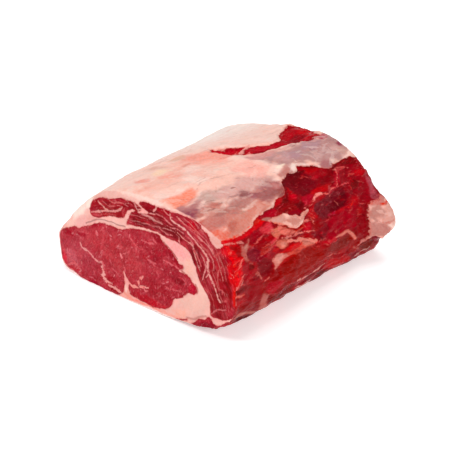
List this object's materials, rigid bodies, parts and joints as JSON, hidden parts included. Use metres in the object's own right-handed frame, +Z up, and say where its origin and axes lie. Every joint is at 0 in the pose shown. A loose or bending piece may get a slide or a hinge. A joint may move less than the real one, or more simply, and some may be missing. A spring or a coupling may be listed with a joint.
{
  "type": "boneless ribeye roast",
  "caption": "Thick block of raw boneless ribeye beef, cut square at both ends, with a pale fat cap on top and a trimmed dark red lean side.",
  "frame": {"origin": "on the table, at the bottom centre of the roast's box", "axes": "+Z up through the fat cap, the fresh cut face looks along -Y, the trimmed lean side along +X"},
  "size_m": [0.2132, 0.2132, 0.1092],
  "materials": {
    "raw_beef": "moist raw beef with pale fat"
  },
  "bodies": {
    "root": {"ribeye": "raw_beef"}
  },
  "joints": []
}
